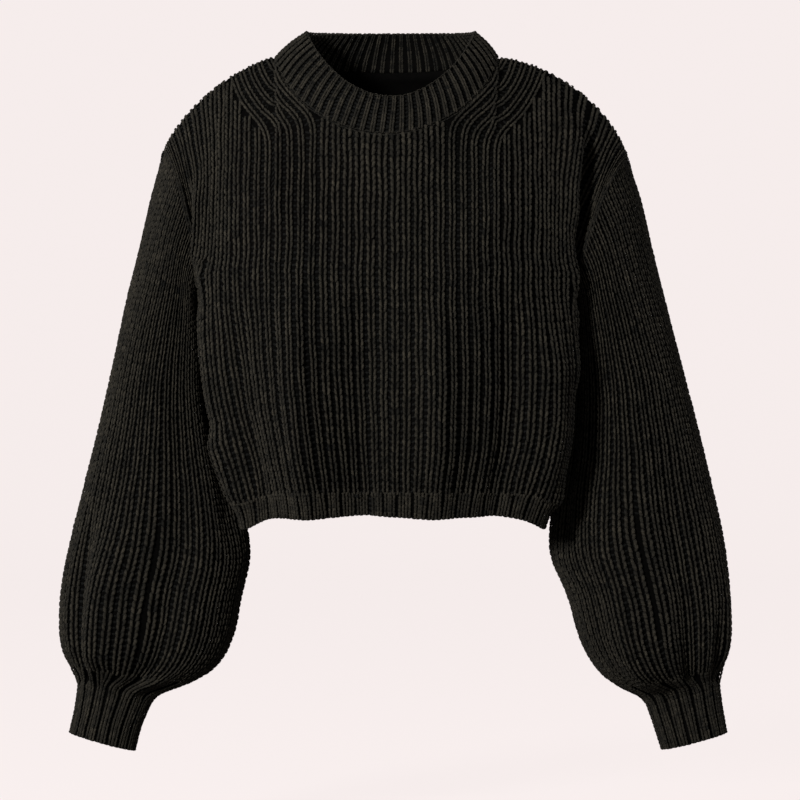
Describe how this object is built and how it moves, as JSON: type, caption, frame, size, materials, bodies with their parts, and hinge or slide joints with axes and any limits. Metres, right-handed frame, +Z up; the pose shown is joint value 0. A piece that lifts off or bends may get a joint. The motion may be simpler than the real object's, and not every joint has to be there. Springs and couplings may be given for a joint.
{
  "type": "cropped knit sweater",
  "caption": "Cropped crew-neck sweater in chunky rib knit with dropped shoulders, balloon sleeves, ribbed hem and cuffs, hollow as worn.",
  "frame": {"origin": "middle of the neck opening, at the level where the neckband meets the shoulders, where the wearer's shoulders and neck hold the sweater", "axes": "+Z up towards the neck, the front faces -Y, +X towards the wearer's left sleeve"},
  "size_m": [0.6417, 0.2419, 0.6879],
  "materials": {
    "yarn_black": "matte ribbed knit"
  },
  "bodies": {
    "root": {"front_body": "yarn_black", "back_body": "yarn_black", "hem_front": "yarn_black", "hem_back": "yarn_black", "neckband": "yarn_black", "sleeve_right": "yarn_black", "sleeve_left": "yarn_black", "cuff_right": "yarn_black", "cuff_left": "yarn_black"}
  },
  "joints": []
}
